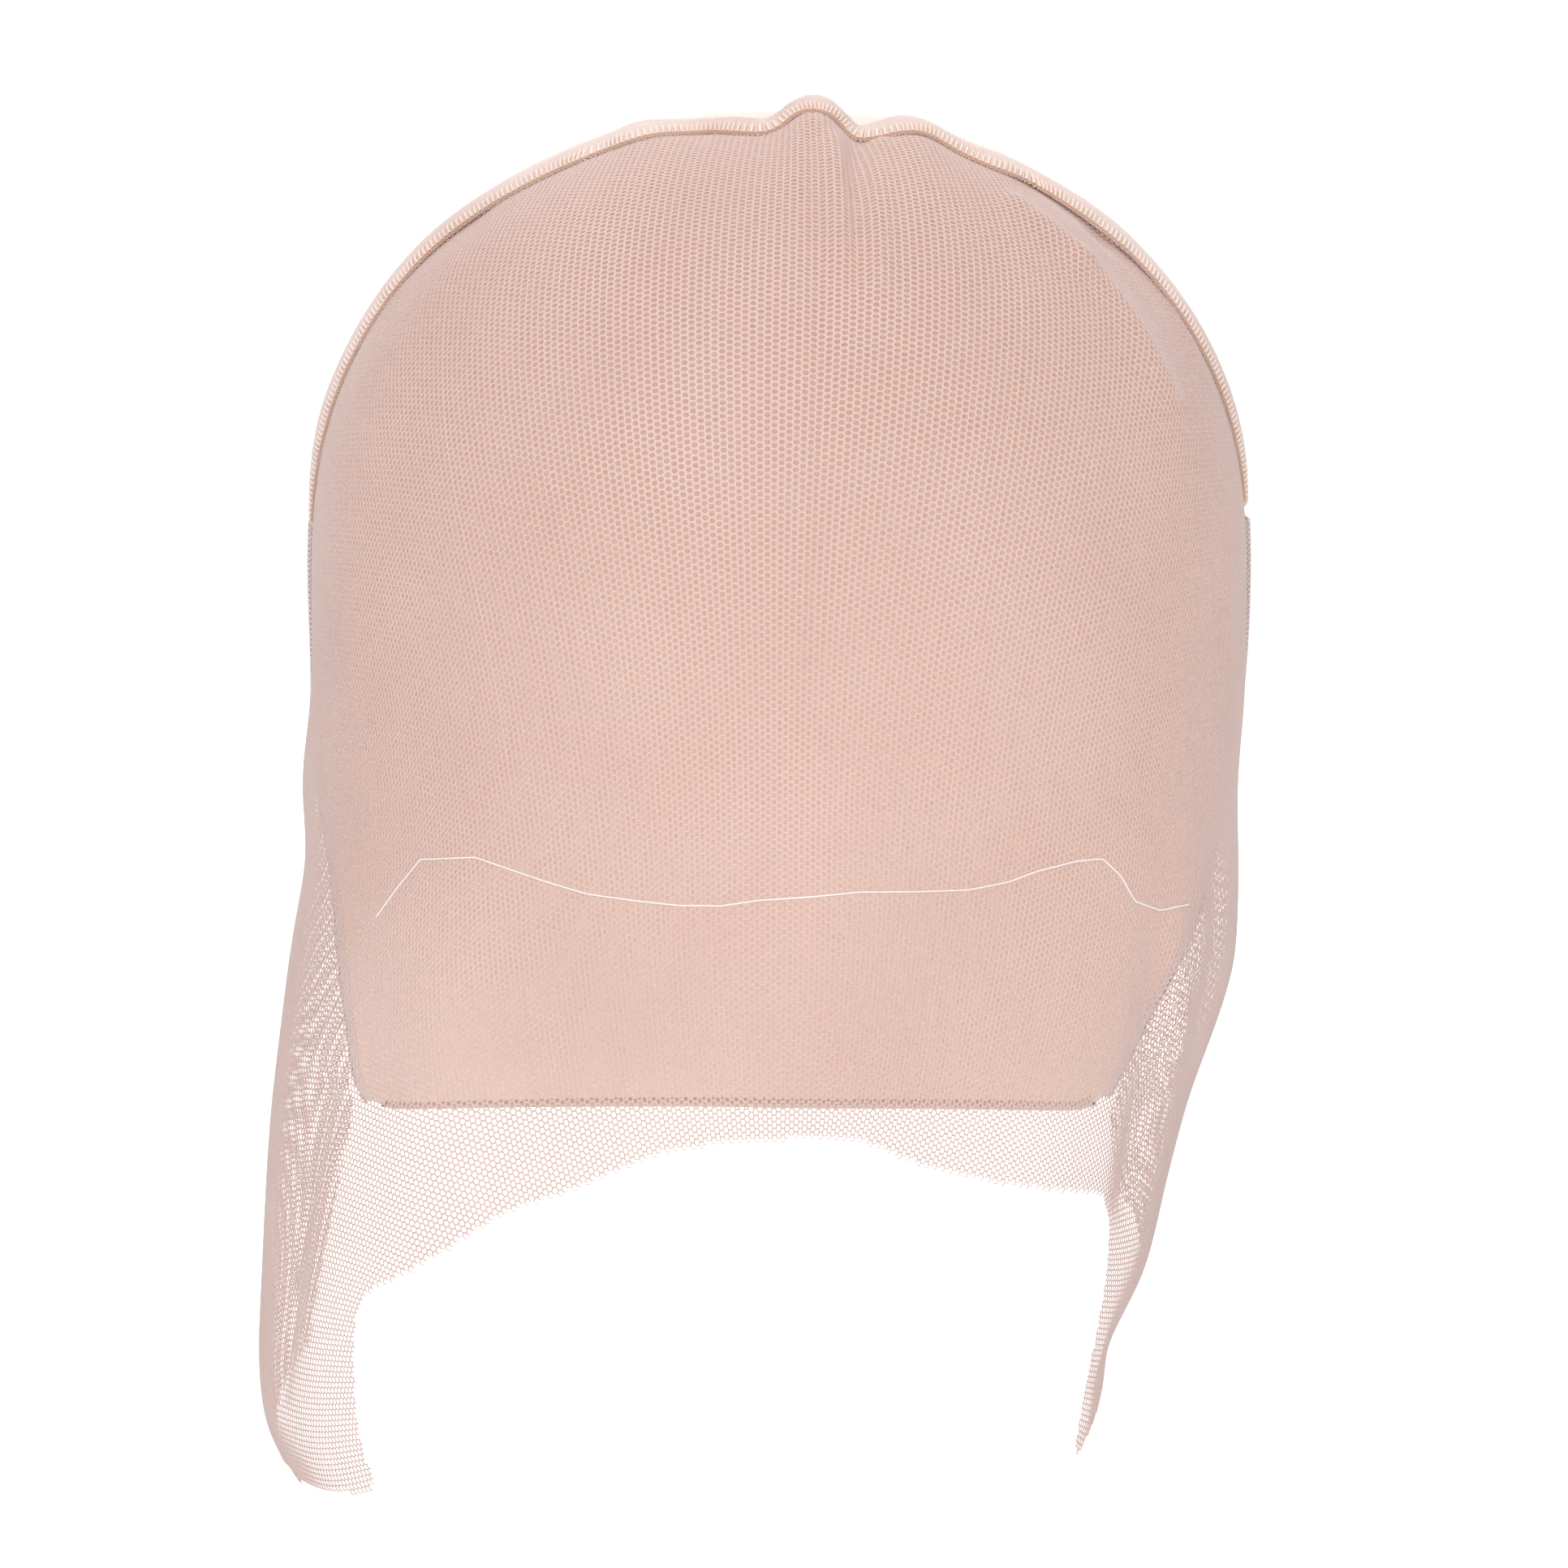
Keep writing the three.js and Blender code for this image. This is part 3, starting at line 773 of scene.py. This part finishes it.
def lay_on_tape(ob):
    """Lays flat work, which starts at zero, on the tape's pattern."""
    ob.data.transform(Matrix.Translation((tape_start, 0, 0)))
    use_tree(ob, laying, Cloth=tape_cloth, Metres=strip_size)
    evaluated(ob)
    print(ob.name, len(ob.data.polygons), "faces")


rib_count = round(tape_length / tape_rib)
bm = bmesh.new()
bmesh.ops.create_grid(bm, x_segments=rib_columns * rib_count, y_segments=tape_rows, size=0.5)
bmesh.ops.scale(bm, verts=bm.verts, vec=(tape_length, tape_width - 2 * edge_inset, 1))
bmesh.ops.translate(bm, verts=bm.verts, vec=(tape_length / 2, tape_width / 2, 0))
for vert in bm.verts:
    rib = math.cos(2 * math.pi * rib_count * vert.co.x / tape_length)
    vert.co.z = fold_height(vert.co.x, vert.co.y) + rib_height * rib
binding = mesh_object("seam_binding", bm)
pale_peach = (0.79, 0.66, 0.62)
deep_pale_peach = (0.70, 0.54, 0.49)
binding.data.materials.append(cloth_material("binding knit", pale_peach, deep_pale_peach, fibre=2500))
lay_on_tape(binding)

# %% [markdown]
# ## Stitches on the binding
# An overlock machine sews the front edge: short bars of thread reach back over the tape about every
# millimetre, and a thread ties their feet along the edge; its dark tan paints the shade under and
# between the bars. A thread is a curve with a round bevel, drawn flat like everything else, made a
# mesh and then laid on the tape.

# %% Threads as bevelled curves


def thread(name, lines, radius, finish):
    """A mesh of round threads along some lines of points."""
    data = bpy.data.curves.new(name, "CURVE")
    data.dimensions = "3D"
    data.bevel_depth = radius
    data.bevel_resolution = 1
    for line in lines:
        spline = data.splines.new("POLY")
        spline.points.add(len(line) - 1)
        spline.points.foreach_set("co", [x for point in line for x in (*point, 1)])
    curve = bpy.data.objects.new(name, data)
    bpy.context.scene.collection.objects.link(curve)
    mesh = bpy.data.meshes.new_from_object(curve.evaluated_get(bpy.context.evaluated_depsgraph_get()))
    bpy.data.objects.remove(curve)
    ob = bpy.data.objects.new(name, mesh)
    bpy.context.scene.collection.objects.link(ob)
    ob.data.polygons.foreach_set("use_smooth", [True] * len(ob.data.polygons))
    ob.data.materials.append(finish)
    return ob


def on_tape(line):
    """Lifts a line of flat work, given as along, across and up, on the fold of the tape."""
    return [(along, across, fold_height(along, across) + up) for along, across, up in line]


# %% Overlock along the front edge
bar_pitch = 0.94 * millimetre
bar_feet = 0.4 * millimetre
bar_length = 1.3 * millimetre
bar_radius = 0.21 * millimetre
foot_radius = 0.2 * millimetre
# How high the threads' middles lie over the tape, in their own radii.
bar_lift = 0.8
bar_bulge = 0.6
foot_lift = 0.1
seam_thread = cloth_material("stitch thread", (0.92, 0.76, 0.69), (0.86, 0.66, 0.57), fibre=3000)
# The edge thread is a real thread, and its dark tan is painted shade under and between the bars.
edge_thread_painted_shade = cloth_material("edge thread with painted shade", (0.60, 0.36, 0.25), (0.50, 0.28, 0.18), fibre=3000)


def overlock_bar(along):
    """A bar of thread that starts at the front edge and bulges in its middle."""
    line = []
    for share in (0.0, 0.3, 0.7, 1.0):
        lift = bar_lift + bar_bulge * math.sin(math.pi * share)
        line.append((along, bar_feet + share * bar_length, lift * bar_radius))
    return line


bar_starts = np.arange(bar_pitch, tape_length - bar_pitch, bar_pitch)
bars = [on_tape(overlock_bar(along)) for along in bar_starts]
overlock = thread("overlock_bars", bars, bar_radius, seam_thread)
lay_on_tape(overlock)
foot_places = np.arange(bar_pitch / 2, tape_length - bar_pitch / 2, bar_pitch / 2)
feet = on_tape([(along, bar_feet, foot_lift * foot_radius) for along in foot_places])
# This thread's dark tan is painted shade at the feet of the overlock bars.
edge = thread("overlock_edge", [feet], foot_radius, edge_thread_painted_shade)
lay_on_tape(edge)

# %% Straight stitches along the back edge
stitch_pitch = 2.4 * millimetre
stitch_length = 1.7 * millimetre
back_line = tape_width - 1.2 * millimetre


def stitch_row(length, pitch, dash, across):
    """Straight stitches in a row, each of which dives under the cloth at both ends."""
    return [
        [(start + share * dash, across, (math.sin(math.pi * share) - 0.5) * bar_radius)
         for share in (0.0, 0.25, 0.75, 1.0)]
        for start in np.arange(pitch, length - pitch, pitch)
    ]


dashes = [on_tape(line) for line in stitch_row(tape_length, stitch_pitch, stitch_length, back_line)]
back_row = thread("back_stitches", dashes, bar_radius, seam_thread)
lay_on_tape(back_row)

# %% [markdown]
# ## Seam at the sides and hem of the nape
# Past the ends of the tape the two cloths are only overlocked together, and at the nape the knit is
# turned up and sewn. Both follow the border of the back cloth, so its border is walked first.

# %% Border of the back cloth
hem_turn = 7 * millimetre
hem_radius = 0.9 * millimetre
seam_radius = 0.75 * millimetre


def evenly(points, step):
    """The same line with points a step apart."""
    places = np.array(points)
    lengths = np.concatenate([[0], np.cumsum(np.linalg.norm(np.diff(places, axis=0), axis=1))])
    wanted = np.arange(0, lengths[-1], step)
    return np.stack([np.interp(wanted, lengths, places[:, axis]) for axis in range(3)], 1)


def part_of(line, keep):
    """The stretch of a closed line whose points pass a test."""
    first = next(i for i in range(len(line)) if keep(line[i]) and not keep(line[i - 1]))
    turned = line[first:] + line[:first]
    return turned[: next((i for i, p in enumerate(turned) if not keep(p)), len(turned))]


def follow(line, surface, flat):
    """Bends flat work, given as along, across and up, round a line on a surface."""
    step = np.linalg.norm(line[1] - line[0])
    heading = np.gradient(line, axis=0)
    bent = []
    for along, across, up in flat:
        spot = min(along / step, len(line) - 1)
        near = int(min(spot, len(line) - 2))
        foot = Vector(line[near] + (line[near + 1] - line[near]) * (spot - near))
        outwards = surface.find_nearest(foot)[1]
        sideways = outwards.cross(Vector(heading[near])).normalized()
        beside = foot + sideways * across
        point, outwards = surface.find_nearest(beside)[:2]
        beyond = sideways * (beside - point).dot(sideways)
        bent.append(point + beyond + outwards * up)
    return bent


# %% Overlocked seam below the tape
nape_band = 2 * millimetre
tape_overlap = 19 * millimetre
nape_level = min(p.z for p in back_border) + nape_band
tape_end_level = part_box("seam_tape")[0].z + tape_overlap
seam_step = 0.5 * millimetre
zigzag_width = 1.1 * millimetre
# How high the seam's parts lie over the cloth, in the radius of the roll or of the thread.
roll_lift = -0.2
crossing_lift = 1.1
zigzag_lifts = (0.3, 0.9)
side_thread = cloth_material("ear seam thread", (0.78, 0.68, 0.67), (0.72, 0.60, 0.58), fibre=3000)


def straight(length, across, up):
    """A straight line of flat work with a point at every second step of the seam."""
    return [(along, across, up) for along in np.arange(0, length, 2 * seam_step)]


def zigzag(length):
    """A thread that goes from side to side of the seam and over its roll."""
    line = []
    half = bar_pitch / 2
    for step, along in enumerate(np.arange(0, length, half)):
        if step:
            line.append((along - half / 2, 0, crossing_lift * seam_radius))
        line.append((along, zigzag_width * (-1) ** step, zigzag_lifts[step % 2] * bar_radius))
    return line[:-1]


seam_pieces = []
for side, title in ((-1, "left"), (1, "right")):
    stretch = part_of(back_border, lambda p: side * p.x > 0 and nape_level < p.z < tape_end_level)
    line = evenly(stretch, seam_step)
    length = len(line) * seam_step
    roll = follow(line, back_surface, straight(length, 0, roll_lift * seam_radius))
    seam_pieces.append(thread(f"{title}_seam_roll", [roll], seam_radius, side_thread))
    crossing = follow(line, back_surface, zigzag(length))
    seam_pieces.append(thread(f"{title}_seam_overlock", [crossing], bar_radius, side_thread))
    print(title, "seam below the tape", length / millimetre, "mm")

# %% Hem of the nape
hem_pitch = 3.0 * millimetre
hem_dash = 2.2 * millimetre
hem_overhang = 0.3
hem_sink = -0.65
nape_line = evenly(part_of(back_border, lambda p: p.z <= nape_level), seam_step)
nape_length = len(nape_line) * seam_step
middle = nape_line[len(nape_line) // 2]
inward = follow(nape_line, back_surface, [(nape_length / 2, hem_turn, 0)])[0]
hem_side = 1 if inward.z > middle[2] else -1
turned_edge = straight(nape_length, hem_side * hem_overhang * hem_radius, hem_sink * hem_radius)
nape_fold = thread("nape_fold", [follow(nape_line, back_surface, turned_edge)], hem_radius, rib_knit)
hem_row = stitch_row(nape_length, hem_pitch, hem_dash, hem_side * hem_turn)
nape_dashes = [follow(nape_line, back_surface, dash) for dash in hem_row]
nape_stitches = thread("nape_stitches", nape_dashes, bar_radius, seam_thread)
print("nape of", round(nape_length / millimetre), "mm with", len(nape_dashes), "stitches")

# %% [markdown]
# ## Thread across the front sheet
# A fine white thread runs across the front sheet from side to side, where the net was folded. Its
# course is given as the places where the camera sees it, in millimetres from the crown at the depth
# of the crown. A ray through each of them meets the net's pattern, and the thread rests there.

# %% Fold thread
fold_course = [
    (-66.7, -132.1), (-63.3, -127.4), (-59.4, -122.6), (-50.4, -122.2), (-39.1, -126.1), (-31.8, -128.3),
    (-24.0, -129.4), (-16.7, -130.2), (-9.6, -130.3), (-3.5, -129.4), (5.4, -128.8), (13.2, -128.0),
    (23.5, -127.9), (31.3, -127.6), (37.9, -126.3), (42.7, -124.5), (49.3, -122.8), (53.5, -122.4),
    (56.5, -125.2), (58.9, -129.5), (63.2, -131.0), (67.9, -130.0),
]
fold_thread_radius = 0.13 * millimetre
fold_step = 1.0 * millimetre
fold_line = evenly([Vector((x, 0, z)) * millimetre for x, z in fold_course], fold_step)
lace_surface = skin_tree(lace_cloth)
seen = []
for seen_at in fold_line:
    point, outwards, _, _ = lace_surface.ray_cast(camera_place, Vector(seen_at) - camera_place)
    seen.append(point + outwards * (strand_height + fold_thread_radius / 2))
white_thread = cloth_material("white thread", (0.90, 0.86, 0.85), (0.84, 0.78, 0.76), fibre=3000)
fold_thread = thread("fold_thread", [seen], fold_thread_radius, white_thread)
print("fold thread of", len(seen), "points")

# %% [markdown]
# ## Attaching the pieces
# Every piece rides on the one body of the frame.

# %% Attach the pieces
threads = [overlock, edge, back_row]
slots = {
    "front_net": net_pieces + [fold_thread],
    "binding_tape": threads + seam_pieces + [binding, nape_stitches],
    "stretch_back": [back_cloth, nape_fold],
}
for slot, pieces in slots.items():
    for piece in pieces:
        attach(piece, "root")
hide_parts("lace_front")
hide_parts("back_cap")
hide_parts("seam_tape")

for pattern in (lace_cloth, tape_cloth):
    bpy.data.objects.remove(pattern)
